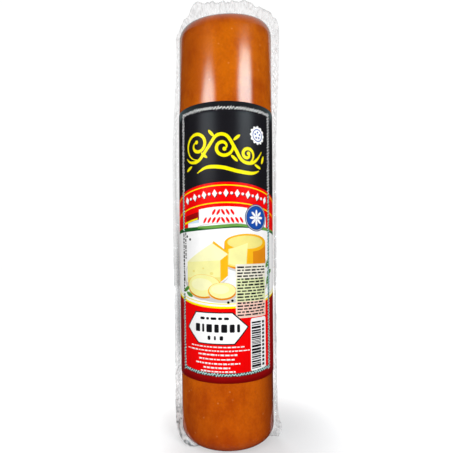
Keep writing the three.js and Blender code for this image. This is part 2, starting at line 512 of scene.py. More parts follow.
def turned_log_tree():
    """Turns a profile round the axis: rings by share of its length, segments round the log."""
    inputs = {"Rings": "Int", "Segments": "Int", "Unevenness": "Float", "Finish": "Material"}
    tree, given = new_tree("turned_log", inputs)
    profile = add_node(tree, "GeometryNodeMeshToCurve", Mesh=given["Geometry"]).outputs["Curve"]
    grid = add_node(tree, "GeometryNodeMeshGrid", Size_X=1.0, Size_Y=1.0)
    feed(tree, grid, Vertices_X=given["Segments"], Vertices_Y=given["Rings"])
    across, up, _ = parts(tree, mesh_place(tree))
    sample = add_node(
        tree, "GeometryNodeSampleCurve", {"mode": "FACTOR"}, Curves=profile, Factor=up + 0.5
    )
    radius, _, height = parts(tree, sample.outputs["Position"])
    turn = across * (2 * math.pi)
    round_x = turn.math("SINE")
    round_y = turn.math("COSINE")
    place = joined(tree, round_x * radius, round_y * radius, height)
    lumps = add_node(tree, "ShaderNodeTexNoise", Vector=place, Scale=RIND_LUMPS, Detail=2.0)
    lump = (Quantity(tree, lumps.outputs["Fac"]) - 0.5) * given["Unevenness"]
    uneven = lump * (radius / LOG_RADIUS) + radius
    target = settled(tree, round_x * uneven, round_y * uneven, height)
    shaped = add_node(
        tree, "GeometryNodeSetPosition", Geometry=grid.outputs["Mesh"], Position=target
    ).outputs["Geometry"]
    welded = add_node(
        tree, "GeometryNodeMergeByDistance", Geometry=shaped, Distance=WELD_DISTANCE
    ).outputs["Geometry"]
    close_tree(tree, welded, given["Finish"])
    return tree


MARK_SIZES = ("mark_width", "mark_height", "mark_turn")


def printed_marks_tree():
    """Puts a thin bar of ink on each flat point, sized and turned by attributes, and wraps it."""
    inputs = {"Lift": "Float", "Depth": "Float", "Ink": "Material"}
    tree, given = new_tree("printed_marks", inputs)
    size = joined(tree, 1.0, 1.0, given["Depth"])
    bar = add_node(tree, "GeometryNodeMeshCube", Size=size, Vertices_X=4).outputs["Mesh"]
    settings = {"data_type": "FLOAT"}
    width, height, turn = (
        add_node(tree, "GeometryNodeInputNamedAttribute", settings, Name=name).outputs[0]
        for name in MARK_SIZES
    )
    placed = add_node(
        tree,
        "GeometryNodeInstanceOnPoints",
        Points=given["Geometry"],
        Instance=bar,
        Scale=joined(tree, width, height, 1.0),
        Rotation=joined(tree, z=turn),
    ).outputs["Instances"]
    real = add_node(tree, "GeometryNodeRealizeInstances", Geometry=placed).outputs["Geometry"]
    across, up, out = parts(tree, mesh_place(tree))
    angle = across / LABEL_RADIUS
    radius = out + given["Lift"] + LOG_RADIUS
    front = angle.math("COSINE") * (radius * -1.0)
    target = settled(tree, radius * angle.math("SINE"), front, up + LABEL_BOTTOM)
    shaped = add_node(tree, "GeometryNodeSetPosition", Geometry=real, Position=target)
    close_tree(tree, shaped.outputs["Geometry"], given["Ink"])
    return tree


# ------------ pieces


def finish_piece(name, mesh, replaced=None, closed=True):
    """Makes a mesh in millimetres a piece that rides on the one body."""
    mesh.transform(Matrix.Scale(MM, 4))
    work = bmesh.new()
    work.from_mesh(mesh)
    loose = [vert for vert in work.verts if not vert.link_faces]
    bmesh.ops.delete(work, geom=loose, context="VERTS")
    if closed:
        bmesh.ops.recalc_face_normals(work, faces=work.faces)
    work.to_mesh(mesh)
    work.free()
    mesh.shade_smooth()
    mesh.name = name
    piece = add_object(name, mesh)
    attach(piece, "root")
    if replaced:
        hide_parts(replaced)
    return piece


def mesh_from(name, points, faces):
    mesh = bpy.data.meshes.new(name)
    mesh.from_pydata([tuple(point) for point in points], [], faces)
    mesh.validate()
    return mesh


def sheet_faces(columns, rows, start=0, flipped=False):
    """Faces of a sheet of (columns + 1) by (rows + 1) points, column by column."""
    faces = []
    for i in range(columns):
        for j in range(rows):
            a = start + i * (rows + 1) + j
            b = a + rows + 1
            face = (a, b, b + 1, a + 1)
            faces.append(face[::-1] if flipped else face)
    return faces


def make_log():
    """The log, turned from its half outline, which is closed at both ends on the axis."""
    profile = np.concatenate([[[0.0, 0.0]], half_outline()])
    profile[-1, 0] = 0.0
    points = [(radius, 0.0, height) for radius, height in profile]
    base = bpy.data.meshes.new("log_profile")
    base.from_pydata(points, [(i, i + 1) for i in range(len(points) - 1)], [])
    values = {
        "Rings": LOG_RINGS,
        "Segments": LOG_SEGMENTS,
        "Unevenness": RIND_UNEVENNESS,
        "Finish": rind_material(),
    }
    mesh = grow("cheese_log_rind", base, turned_log_tree(), values)
    finish_piece("cheese_log_rind", mesh, "cheese_log")


# ------------ the label's print

# Fields that reach the label's side run on to EDGE, just past it. A curve across the label has a
# height in its middle, and a rise outwards in millimetres for each square millimetre.
EDGE = LABEL_HALF_WIDTH + 1
FIELD_TOP = 197.8
ARCH_RISE = -7.0 / 50**2
BAND_BOTTOM = 176.2
PICTURE_TOP = 155.2
PICTURE_TOP_RISE = -1.1 / 1000
PICTURE_BOTTOM = 75.0
PICTURE_BOTTOM_RISE = 2.2 / 1000
PICTURE_MIDDLE = -2.0
RED_BOTTOM = 7.5
RED_BOTTOM_RISE = 0.9 / 1000
BORDER_LEFT = -52.9
BORDER_RIGHT = 52.5
BORDER_TOP = 270.4
BORDER_BOTTOM = 8.4
BORDER_BOTTOM_RISE = 0.6 / 1000

# The cord's dark ground: its half thickness at the sides and at the foot, the gap in its left side,
# and where both sides end
CORD_HALF = (1.9, 1.6)
CORD_GAP = (86.0, 150.0)
CORD_TOP = 188.5

# The cord's light marks: their turn, length and width, and each group's share of that size
CORD_PITCH = 3.0
SIDE_MARKS = ((0.45, 6.4, 1.35), (-0.55, 4.6, 0.8))
END_MARKS = ((0.85, 4.9, 1.2), (-0.8, 3.4, 0.75))
MARK_SHRINK = {"upper": (0.96, 0.72), "lower": (0.76, 0.76)}

# Small print. Lines are left, right, up and height, and stacks are across, low, high and width.
# Words are their shortest, their longest and the gap between them.
WHITE_LINES = (
    (-40, 19, 36.0, 1.3),
    (-46, 23, 32.4, 1.3),
    (-31, 10, 28.0, 1.6),
    (-30, 8, 23.6, 1.6),
    (-34, 13, 19.4, 1.6),
    (-25, 4, 15.2, 1.6),
    (-28, 8, 11.6, 1.5),
)
DARK_STACKS = ((BORDER_LEFT, 88, 149, 3.0), (-48.8, 122, 147, 1.9))
WHITE_WORDS = (1.2, 4.6, 0.9)
TABLE_LINES = 17
TABLE_SPAN = (10.6, 44)
TABLE_TOP = 114.0
TABLE_PITCH = 2.95
TABLE_HEIGHT = 1.6
TABLE_WORDS = (2.2, 7.5, 1.3)
CODE_SPAN = (12.5, 60)
CODE_BAR = (31.8, 12.0)
CODE_HEIGHTS = (0.8, 1.0, 1.7, 2.3)
CODE_GAPS = (0.6, 0.8, 1.1)
CODE_SQUARES = 12
CODE_SQUARE = (41.2, 3.2, 2.5)
CODE_SQUARE_START = 15
CODE_SQUARE_PITCH = 3.9

fields = []


def field(ink, *outlines):
    """Adds fields of colour on top of those before them."""
    for outline in outlines:
        points = [tuple(point) for point in outline]
        area = sum(a[0] * b[1] - b[0] * a[1] for a, b in zip(points, points[1:] + points[:1]))
        fields.append((ink, points if area > 0 else points[::-1]))


def turned(x, y, angle):
    """Places turned round the origin."""
    return x * np.cos(angle) - y * np.sin(angle), x * np.sin(angle) + y * np.cos(angle)


def spokes(count, start=0.0):
    """Angles spread evenly round a turn."""
    return [start + 2 * math.pi * k / count for k in range(count)]


def rounded_box(left, right, bottom, top, corner, points=6):
    low, high = bottom + corner, top - corner
    west, east = left + corner, right - corner
    outline = []
    for middle, start in zip(((east, high), (west, high), (west, low), (east, low)), spokes(4)):
        outline += arc(middle, corner, start, start + math.pi / 2, points)
    return outline


def oval(middle, half_width, half_height, turn=0.0, points=48):
    angles = np.array(spokes(points))
    across, up = turned(half_width * np.cos(angles), half_height * np.sin(angles), turn)
    return zip(middle[0] + across, middle[1] + up)


def disc(middle, radius, points=48):
    return oval(middle, radius, radius, points=points)


def rising(height, rise=0.0, middle=0.0):
    """A curve: the height of each place across."""
    return lambda s: height + rise * (s - middle) ** 2


def arch(height):
    return rising(height, ARCH_RISE)


def dish(height):
    return rising(height, PICTURE_BOTTOM_RISE, PICTURE_MIDDLE)


picture_top = rising(PICTURE_TOP, PICTURE_TOP_RISE)
border_floor = rising(BORDER_BOTTOM, BORDER_BOTTOM_RISE)


def hills(low, swing):
    return lambda s: picture_top(s) + low + 0.9 * math.sin(s / swing)


def between(lower, upper, left=-EDGE, right=EDGE, step=2.5):
    """The area between two curves."""
    places = np.linspace(left, right, max(2, round((right - left) / step) + 1))
    return [(s, lower(s)) for s in places] + [(s, upper(s)) for s in places[::-1]]


def smooth_path(points, steps=10):
    """A smooth curve through the points."""
    points = np.array(points, float)
    padded = [points[0], *points, points[-1]]
    path = []
    for a, b, c, d in zip(padded, padded[1:], padded[2:], padded[3:]):
        for t in np.arange(steps) / steps:
            square = 2 * a - 5 * b + 4 * c - d
            cube = 3 * b - a - 3 * c + d
            path.append(b + ((c - a) * t + square * t**2 + cube * t**3) / 2)
    return [*path, points[-1]]


def stroke(ink, path, width, taper=0.3):
    """A pen stroke along a path, thinner at both ends, as a chain of small fields."""
    path = np.array(path)
    along = np.gradient(path, axis=0)
    along /= np.hypot(*along.T)[:, None]
    sideways = np.stack([-along[:, 1], along[:, 0]], -1)
    shares = np.linspace(0, 1, len(path))
    half = width / 2 * np.clip(np.minimum(shares, 1 - shares) / taper, 0.15, 1) ** 0.6
    left = path + sideways * half[:, None]
    right = path - sideways * half[:, None]
    for k in range(len(path) - 1):
        corners = np.array([left[k], left[k + 1], right[k + 1], right[k]])
        sides = np.roll(corners, -1, axis=0) - corners
        turns = [a[0] * b[1] - a[1] * b[0] for a, b in zip(sides, np.roll(sides, -1, axis=0))]
        convex = max(turns) < 0 or min(turns) > 0
        field(ink, corners if convex else disc(path[k], half[k], 10))


def curl(middle, radius, start, turns, shrink=0.2, steps=40):
    """A spiral that shrinks from radius to shrink times radius."""
    shares = [k / steps for k in range(steps + 1)]
    return [
        polar(middle, radius * lerp(1, shrink, share), start + turns * 2 * math.pi * share)
        for share in shares
    ]


def lay_grounds():
    """The large fields: black above the arch, red below it, the pale picture in the red, and painted
    shade as dark red strips down both sides below the picture.
    """
    half = LABEL_HALF_WIDTH
    field("black", rounded_box(-half, half, 0, LABEL_HEIGHT, LABEL_CORNER, 8))
    field("dark_red", between(rising(-1), rising(30), step=10))
    field("red", between(rising(RED_BOTTOM, RED_BOTTOM_RISE), arch(FIELD_TOP)))
    # Painted shade: dark red strips outside the border, below the picture, where the label turns away
    # at its sides
    for left, right in ((-EDGE, BORDER_LEFT - 3), (BORDER_RIGHT + 3, EDGE)):
        field("dark_red", between(rising(-1), dish(PICTURE_BOTTOM), left, right))
    field("white", between(dish(PICTURE_BOTTOM), picture_top))
    for low, high in ((-1.4, 0.6), (2.6, 3.5)):
        field("yellow", between(dish(PICTURE_BOTTOM + low), dish(PICTURE_BOTTOM + high)))


def lay_cord_ground():
    """The dark line under the border's light marks where the label is red."""
    side_half, foot_half = CORD_HALF
    for side, bottom, top in (
        (BORDER_LEFT, BORDER_BOTTOM, CORD_GAP[0]),
        (BORDER_LEFT, CORD_GAP[1], CORD_TOP),
        (BORDER_RIGHT, BORDER_BOTTOM, CORD_TOP),
    ):
        field("dark_teal", rounded_box(side - side_half, side + side_half, bottom, top, 0.3, 2))
    low, high = (rising(BORDER_BOTTOM + shift, BORDER_BOTTOM_RISE) for shift in (-foot_half, foot_half))
    field("dark_teal", between(low, high, BORDER_LEFT, BORDER_RIGHT))


def lay_band():
    """The arched red band: its yellow edges, and a row of white lozenges and dots along it."""
    for top in (FIELD_TOP - 2.6, BAND_BOTTOM + 2.0):
        field("yellow", between(arch(top - 1.0), arch(top)))
    line = arch((FIELD_TOP + BAND_BOTTOM) / 2)
    pitch, dot = 5.6, 1.4
    lozenge = ((-2.6, 0), (0, 4.0), (2.6, 0), (0, -4.0))
    for ink, shift in (("black", 0.7), ("white", 0.0)):
        for k in range(-8, 9):
            across = pitch * k
            up = line(across) - shift
            lean = 2 * ARCH_RISE * across
            shape = [(across + shift + a - lean * b, up + b + lean * a) for a, b in lozenge]
            field(ink, disc((across + shift, up), dot, 12) if k % 2 else shape)


def lay_panel():
    """The pale panel under the band: sky, a green strip, and two rows of red leaves."""
    for ink, height in (("pale_sky", 162.5), ("white", 159.5)):
        field(ink, between(picture_top, lambda s: height + 0.04 * s, -44, 47))
    field("dark_red", [(-48, 165.4), (-27, 169.6), (-27, 162), (-46, 158)])
    field("yellow", [(-50, 158.8), (-30, 163.4), (-30, 161.8), (-50, 157.2)])
    field("dark_green", between(hills(-2.8, 17), hills(0.6, 13)))
    field("green", between(hills(-1.6, 9), hills(1.2, 13), -30))
    field("shadow", between(arch(BAND_BOTTOM - 19), arch(BAND_BOTTOM - 3.2), -27.6, 22))
    field("white", between(arch(BAND_BOTTOM - 18.4), arch(BAND_BOTTOM - 2.4), -28.4, 21.4))
    for count, up in ((5, 168.4), (9, 160.6)):
        for k in range(count):
            across = -3 + 4.6 * (k - (count - 1) / 2)
            lean = 1.05 if across < -3 else math.pi - 1.05
            field("red", oval((across, up), 3.3, 1.25, lean, 18))


def lay_badges():
    """The round blue badge with its silver ring and petals, and the small white rosette above."""
    badge, rosette = (32.5, 163.0), (34.5, 246.0)
    rings = (("dark_blue", 13.6), ("silver", 12.9), ("dark_blue", 12.0), ("blue", 11.3))
    for ink, radius in rings:
        field(ink, disc(badge, radius))
    field("white", *(oval(polar(badge, 4.8, turn), 3.4, 1.3, turn, 16) for turn in spokes(8)))
    field("white", disc(badge, 1.5, 16))
    field("white", [polar(rosette, 8.8 + 0.8 * math.cos(12 * a), a) for a in spokes(72)])
    field("blue", disc(rosette, 6.3))
    field("white", disc(rosette, 5.5))
    field("blue", *(disc(polar(rosette, 3.0, a), 1.0, 12) for a in spokes(5, math.pi / 2)))


def lay_scrolls():
    """The yellow ornament on the black: a vine with three scrolls, and a long swash under it."""
    stem = [(-45, 224), (-38, 219.5), (-28, 220.5), (-18, 232), (-9, 243.5), (1, 243), (9, 231)]
    stem += [(16, 219.5), (25, 217), (33, 221), (40, 230)]
    stroke("yellow", smooth_path(stem), 3.3, 0.16)
    down, up = -math.pi / 2, math.pi / 2
    for scroll in (
        curl((-30, 236), 15.0, down, -1.45),
        curl((-2.5, 232), 11.4, up, -1.4),
        curl((22, 225.5), 8.2, down, 1.35),
    ):
        stroke("yellow", scroll, 3.2)
        field("yellow", disc(scroll[-1], 2.0, 14))
    leaves = [(-14.5, 246, 2.3), (-22, 225, -0.7), (11, 241.5, 0.7), (8.5, 221, 2.4)]
    leaves += [(34.5, 214.5, -0.4), (-41, 213.5, 0.5), (41.5, 222, 1.2)]
    field("yellow", *(oval((across, height), 4.4, 1.5, turn, 20) for across, height, turn in leaves))
    swash = [(-30, 208), (-19, 212.8), (-4, 212.2), (12, 208.4), (27, 207.2), (36, 210.2)]
    stroke("yellow", smooth_path(swash), 3.6, 0.25)


def lay_serving():
    """The picture: a cut wheel, a wedge and slices on a pale board, with leaves and peppercorns."""
    field("shadow", oval((2, 104), 54, 25, 0.02, 64))
    field("plate", oval((2, 105.8), 52, 23, 0.02, 64))
    field("shadow", oval((24, 117), 26, 8.5))
    field("amber", oval((22, 119), 24, 8), rounded_box(-2, 46, 119, 138, 0.2, 2))
    field("gold", between(rising(114.5), rising(138), -1, 28, 4), oval((22, 138), 24, 9))
    field("butter", oval((21, 138.6), 20, 6.6), [(22, 138), (2, 132), (0, 117), (20, 111)])
    field("cream", [(22, 138), (3, 131.6), (2, 118), (20, 112.5)])
    field("shadow", [(-47, 98), (-6, 99), (2, 104), (-6, 95.5), (-44, 94)])
    field("cream", [(-46, 119), (-6, 121), (-6, 99.5), (-46, 98)])
    field("butter", [(-46, 103), (-6, 104.5), (-6, 99.5), (-46, 98)])
    field("gold", [(-6, 121), (-6, 99.5), (1.5, 106), (1.5, 127)])
    field("pale_cream", [(-46, 119), (-6, 121), (1.5, 127), (-14, 138)])
    field("gold", [(-14, 138), (1.5, 127), (2.6, 128.4), (-12.6, 140)])
    holes = ((-36, 110, 1.6), (-24, 113, 1.1), (-15, 108, 1.9), (-29, 104.5, 1.0))
    field("butter", *(oval((s, up), radius, radius * 0.8, points=12) for s, up, radius in holes))
    for s, up, half in ((-25, 95, 20.0), (-4.5, 90.5, 14.5)):
        tall = half * 0.6
        field("shadow", oval((s + 1, up - 1.6), half + 0.6, tall))
        field("gold", oval((s, up), half, tall))
        field("amber", oval((s + 0.4, up - 0.5), half - 0.9, tall - 0.5))
        field("cream", oval((s, up + 0.8), half - 1.2, tall - 1.0))
        field("pale_cream", oval((s - 2, up + 2), half * 0.62, half * 0.3))
    leaves = ((-48, 91, 0.5), (-43, 86, -0.3), (50, 117, 0.9), (54, 108, 0.3), (50, 100, 1.2))
    for s, up, turn in leaves:
        field("green", oval((s, up), 5.4, 2.2, turn, 20))
        field("dark_green", oval((s, up), 4.8, 0.4, turn, 12))
    peppercorns = ((1.5, 79.6), (5.6, 81.4), (-46, 145), (-41, 142))
    field("black", *(oval(spot, 1.4, 1.3, points=12) for spot in peppercorns))


def lay_boxes():
    """The plain boxes: the tinted table, the outlined plaque and the box for the bar code."""
    field("table_top", rounded_box(9, 45.5, 64, 117, 0.8, 3))
    field("table_middle", rounded_box(9.6, 44.9, 80, 103, 0.3, 2))
    field("table_foot", rounded_box(9.6, 44.9, 64.6, 80, 0.3, 2))
    plaque = [(-34, 70), (6, 70), (22.5, 55), (8, 38), (-31, 38), (-46, 53)]
    field("black", plaque)
    field("white", [(lerp(-12, s, 0.955), lerp(54, up, 0.93)) for s, up in plaque])
    for left, right, bottom, top, widths in (
        (-28, 2, 62.4, 64.9, (5, 3, 6, 4, 5)),
        (-34, 13, 50.0, 58.0, (5.5, 2.5, 6, 4.5, 6, 5, 3)),
        (-20, -4, 42.4, 46.6, (3, 2, 3.5)),
    ):
        gap = (right - left - sum(widths)) / (len(widths) - 1)
        for width in widths:
            field("black", rounded_box(left, left + width, bottom, top, 0.9, 3))
            left += width + gap
    field("white", rounded_box(24.6, 45.5, 10, 63, 2.5))


def make_label():
    """The label: its fields cut out of one sheet, which is wrapped round the log and given depth."""
    for lay in (lay_grounds, lay_serving, lay_panel, lay_band, lay_badges, lay_scrolls, lay_boxes):
        lay()
    lay_cord_ground()
    half = LABEL_HALF_WIDTH
    columns = round(2 * half / LABEL_CELL[0])
    rows = round(LABEL_HEIGHT / LABEL_CELL[1])
    points, faces, edges = [], [], []
    for _, outline in fields:
        faces.append(list(range(len(points), len(points) + len(outline))))
        points += [Vector(point) for point in outline]
    lines = [((s, 0), (s, LABEL_HEIGHT)) for s in np.linspace(-half, half, columns + 1)[1:-1]]
    lines += [((-half, up), (half, up)) for up in np.linspace(0, LABEL_HEIGHT, rows + 1)[1:-1]]
    for line in lines:
        edges.append((len(points), len(points) + 1))
        points += [Vector(end) for end in line]
    places, _, pieces, _, _, sources = delaunay_2d_cdt(points, edges, faces, 1, 1e-4)
    kept = [(face, max(source)) for face, source in zip(pieces, sources) if 0 in source]
    flat = [tuple(place) for place in places]
    mesh = mesh_from("label_sheet", wrapped(flat, LABEL_LIFT), [face for face, _ in kept])
    inks = list(INKS)
    for ink in inks:
        mesh.materials.append(materials[ink])
    mesh.polygons.foreach_set("material_index", [inks.index(fields[top][0]) for _, top in kept])
    piece = finish_piece("printed_label", mesh, "label", closed=False)
    wall = piece.modifiers.new("paper", "SOLIDIFY")
    wall.thickness = LABEL_THICKNESS * MM
    wall.offset = -1


def make_marks(name, ink, marks):
    """A piece of many small bars of ink. A mark is its middle, width, height and turn."""
    base = bpy.data.meshes.new(name + "_points")
    base.from_pydata([(across, up, 0.0) for across, up, *_ in marks], [], [])
    for column, attribute_name in enumerate(MARK_SIZES, 2):
        store(base, attribute_name, [mark[column] for mark in marks])
    values = {"Lift": LABEL_LIFT + INK_DEPTH * 0.7, "Depth": INK_DEPTH, "Ink": materials[ink]}
    finish_piece(name, grow(name, base, marks_tree, values))


def words(draw, left, right, up, height, shortest, longest, gap):
    """A line of bars of uneven length, as a line of tiny print looks."""
    marks = []
    while left < right - shortest:
        width = min(draw.uniform(shortest, longest), right - left)
        marks.append((left + width / 2, up, width, height * draw.uniform(0.75, 1.05), 0.0))
        left += width + gap
    return marks


def border_marks():
    """Crossed light marks round the label, like a thin twisted cord. Its sides are wider, so that
    they look as thick as the top from the front."""
    draw = random.Random(7)
    marks = {"upper": [], "lower": []}

    def cross(across, up, sizes, step):
        for k, (lean, length, width) in enumerate(sizes):
            s, height = across + k * step[0], up + k * step[1]
            group = "upper" if height > arch(FIELD_TOP)(s) else "lower"
            if group == "lower" and s == BORDER_LEFT and CORD_GAP[0] < height < CORD_GAP[1]:
                continue
            shorter, thinner = MARK_SHRINK[group]
            mark = (
                s + draw.uniform(-0.35, 0.35),
                height + draw.uniform(-0.25, 0.25),
                length * shorter * draw.uniform(0.8, 1.1),
                width * thinner * draw.uniform(0.8, 1.2),
                lean + draw.uniform(-0.25, 0.25),
            )
            marks[group].append(mark)

    count = round((BORDER_TOP - BORDER_BOTTOM) / CORD_PITCH)
    for up in np.linspace(BORDER_BOTTOM, BORDER_TOP, count + 1):
        for side in (BORDER_LEFT, BORDER_RIGHT):
            cross(side, up, SIDE_MARKS, (0, CORD_PITCH / 2))
    count = round((BORDER_RIGHT - BORDER_LEFT) / CORD_PITCH)
    for across in np.linspace(BORDER_LEFT, BORDER_RIGHT, count + 1)[1:-1]:
        for up in (border_floor(across), BORDER_TOP):
            cross(across, up, END_MARKS, (CORD_PITCH / 2, 0))
    return marks


def small_print():
    """The dark and white lines of tiny print, and the bars of the code."""
    draw = random.Random(23)
    dark, white, bars = [], [], []
    for k in range(TABLE_LINES):
        dark += words(draw, *TABLE_SPAN, TABLE_TOP - TABLE_PITCH * k, TABLE_HEIGHT, *TABLE_WORDS)
    for across, up, high, width in DARK_STACKS:
        while up < high:
            height = draw.uniform(1.2, 4.0)
            dark.append((across, up + height / 2, width * draw.uniform(0.7, 1.1), height, 0.0))
            up += height + 0.9
    for left, right, up, height in WHITE_LINES:
        up += BORDER_BOTTOM_RISE * left * right
        white += words(draw, left, right, up, height, *WHITE_WORDS)
    across, width = CODE_BAR
    up, high = CODE_SPAN
    while up < high:
        height = draw.choice(CODE_HEIGHTS)
        bars.append((across, up + height / 2, width, height, 0.0))
        up += height + draw.choice(CODE_GAPS)
    across, width, height = CODE_SQUARE
    for k in range(CODE_SQUARES):
        bars.append((across, CODE_SQUARE_START + CODE_SQUARE_PITCH * k, width, height, 0.0))
    return dark, white, bars


# ------------ the pouch


def crinkle(x, y, z, scale, seed):
    """Ridged noise: 0 on smooth film and 1 along a fold."""
    offset = Vector((seed * 13.7, seed * 5.1, seed * 9.3))
    points = np.stack([x, y, z], -1)
    values = [1 - abs(noise.noise(Vector(point) * scale + offset)) * 2.2 for point in points]
    return np.clip(values, 0, 1) ** 3


def slanted_streaks(distance, wide, slant, across_scale, along_scale, seed):
    """Creases that run along the rim, turned outwards by slant."""
    across, along = turned(wide, distance, slant)
    return crinkle(across * across_scale, along * along_scale, 0 * wide, 1.0, seed)


def by_side(place, values):
    """The left or the right value for each place, or both parts of it where it's a pair."""
    left, right = values[-1], values[1]
    if isinstance(left, tuple):
        return [np.where(place < 0, a, b) for a, b in zip(left, right)]
    return np.where(place < 0, left, right)


def rim_width(place):
    away = np.abs(place)
    fin = lerp(*by_side(place, FIN_WIDTHS), smoothstep(away, *FIN_BLEND))
    tail = 1 - smoothstep(away, *by_side(place, TAIL_ENDS))
    return lerp(fin, TAIL_HEIGHT, tail) + by_side(place, EAR_WIDTHS) * smoothstep(away, *EAR_BLEND)


def ruffle(distance, wave_length, height):
    turn = 2 * math.pi * distance / wave_length
    return height * (np.sin(turn) + 0.5 * np.sin(2.15 * turn + 1))


def crumpled(place):
    """How crumpled the rim is at a place: smooth halfway down the sides, most so at the ends."""
    away = np.abs(place)
    return 0.15 + 0.85 * (1 - smoothstep(away, 0.2, 0.5)) + 0.75 * smoothstep(away, 0.72, 0.9)


def rim_points(walk, place, outward, side):
    """The rim's points for places along it and shares outward. Side is -1 on the front web."""
    away = np.abs(place)
    root = walk.point(1 - away)
    run = walk.direction(1 - away)
    reach = FILM_LIFT + outward * rim_width(place)
    distance = place * walk.length
    tail = 1 - smoothstep(away, TAIL_SPAN * 0.7, TAIL_SPAN)
    tail_wave = ruffle(distance + 3 * np.sin(distance * 0.11), TAIL_RUFFLE_LENGTH, TAIL_RUFFLE)
    fin_wave = ruffle(distance, FIN_RUFFLE_LENGTH, FIN_RUFFLE)
    wave = lerp(fin_wave, 0.6 * tail_wave - TAIL_LEAN * outward, tail)
    gather = ruffle(distance + 4 * np.sin(distance * 0.13), 5.3, 0.45) * tail
    bend = tail * 2.4 * np.sin(0.31 * outward * TAIL_HEIGHT + 0.12 * distance)
    fine = np.sin(distance * 1.9 + 3.1 * outward + np.sin(distance * 0.21) * 4 + bend)
    fine += 0.7 * np.sin(distance * 1.27 - 4.7 * outward + np.sin(distance * 0.33) * 3 - bend)
    fine *= crumpled(place) * (1 - 0.35 * tail)
    bridge = WEB_GAP * np.clip(1 - reach / WEB_GAP_REACH, 0, 1) ** 2
    x = np.where(place < 0, -1, 1) * (root[..., 0] + reach * run[..., 1])
    y = outward * (wave + gather) + fine * 0.28 * smoothstep(outward, 0.1, 0.4)
    y = y + side * (SEAL_THICKNESS / 2 + bridge)
    z = np.maximum(root[..., 1] - reach * run[..., 0], FLOOR_GAP)
    curl_angle = by_side(place, EAR_CURLS) * smoothstep(away, *by_side(place, EAR_CURL_BLEND))
    return settle(np.stack([*turned(x, y, curl_angle), z], -1))


def rim_look(place, outward, length):
    """How hazy the rim's film is at each of its points, and how grey its painted shade makes it."""
    away = np.abs(place)
    on_left = np.where(place < 0, 1, 0)
    distance = place * length
    wide = outward * rim_width(place)
    tail = 1 - smoothstep(away, TAIL_SPAN * 0.6, TAIL_SPAN)
    ear = smoothstep(away, 0.925, 0.955)
    rough = np.clip(crumpled(place), 0, 1) * (1 - ear)
    calm = (1 - rough) * (1 - tail) * (1 - ear)
    edge = smoothstep(outward, 0.94, 1.0)
    low = smoothstep(away, 0.5, 0.75)

    # Creases: slanted both ways in the fins, frosted and wispy in the tail, crumpled in the ears
    slant = math.radians(24)
    streaks = slanted_streaks(np.abs(distance), wide, slant, 0.9, 0.1, 1)
    counter = slanted_streaks(np.abs(distance), wide, -slant, 0.7, 0.13, 2)
    streaks = np.maximum(streaks, 0.7 * counter)
    frost = crinkle(distance, wide, 0 * wide, 0.42, 4)
    curve = distance + 4 * np.sin(0.24 * wide + 0.1 * distance)
    wisps = crinkle(curve, 0.9 * wide + 0.2 * distance, 0 * wide, 0.2, 9)
    crumple = crinkle(distance, wide * 0.8, 0 * wide, 0.3, 6)

    # The seal's band along a fin, which lies further in and is wider low on the left
    def seal(middle, reach):
        return np.exp(-(((outward - middle) / reach) ** 2))

    left = lerp(seal(0.62, 0.17), seal(0.3, 0.32), smoothstep(away, 0.42, 0.56))
    band = np.where(place < 0, left, seal(0.62, 0.24))

    # Haze: a little everywhere, the seal's band where the rim is smooth, and the creases elsewhere
    haze = 0.07 + (0.08 + 0.26 * band) * calm + 0.26 * streaks * rough * (1 - 0.8 * tail)
    haze += (0.07 * frost + 0.1 * wisps) * tail + 0.1 * edge + 0.1 * low
    haze += 0.09 * on_left * smoothstep(away, 0.55, 0.66) * calm
    haze *= 1 - 0.3 * on_left * (1 - smoothstep(away, 0.44, 0.6)) * (1 - tail)
    haze = lerp(haze, by_side(place, EAR_HAZE) + 0.3 * crumple, ear)
    haze *= smoothstep(wide, 0.0, 1.2) * 0.85 + 0.15
    haze *= np.where(place > 0, lerp(1, smoothstep(wide, 0.5, 3.5), ear), 1)

    # Painted shade: how grey the film is, by the same forms, and less so high on the right
    painted_film_shade = 0.42 + 0.4 * streaks * rough * (1 - 0.7 * tail) + 0.4 * edge
    painted_film_shade += (0.15 * frost + 0.25 * wisps) * tail
    painted_film_shade += (0.25 + 0.4 * band) * calm + 0.2 * low * streaks
    painted_film_shade -= 0.3 * np.where(place > 0, 1, 0) * (1 - smoothstep(away, 0.6, 0.75)) * (1 - tail)
    painted_film_shade = lerp(painted_film_shade, by_side(place, EAR_PAINTED_SHADE) * crumple, ear)
    return haze, np.clip(painted_film_shade, 0, 1)


def make_rim():
    """Both webs of the free rim, sealed edge to edge. Returns points, faces, haze and painted shade."""
    walk = Walk(half_outline(FOOT_START))
    place = np.linspace(-1, 1, RIM_COLUMNS + 1)
    place = np.sign(place) * (0.45 * np.abs(place) + 0.55 * np.abs(place) ** 2)
    outward = np.linspace(0, 1, RIM_ROWS + 1)
    grid = np.meshgrid(place, outward, indexing="ij")
    points = np.concatenate([rim_points(walk, *grid, side).reshape(-1, 3) for side in (-1, 1)])
    haze, painted_film_shade = rim_look(grid[0].ravel(), grid[1].ravel(), walk.length)
    count = len(haze)
    faces = sheet_faces(RIM_COLUMNS, RIM_ROWS)
    faces += sheet_faces(RIM_COLUMNS, RIM_ROWS, count, True)
    for i in range(RIM_COLUMNS):
        a = i * (RIM_ROWS + 1) + RIM_ROWS
        b = a + RIM_ROWS + 1
        faces.append((a, b, b + count, a + count))
    return points, faces, np.tile(haze, 2), np.tile(painted_film_shade, 2)


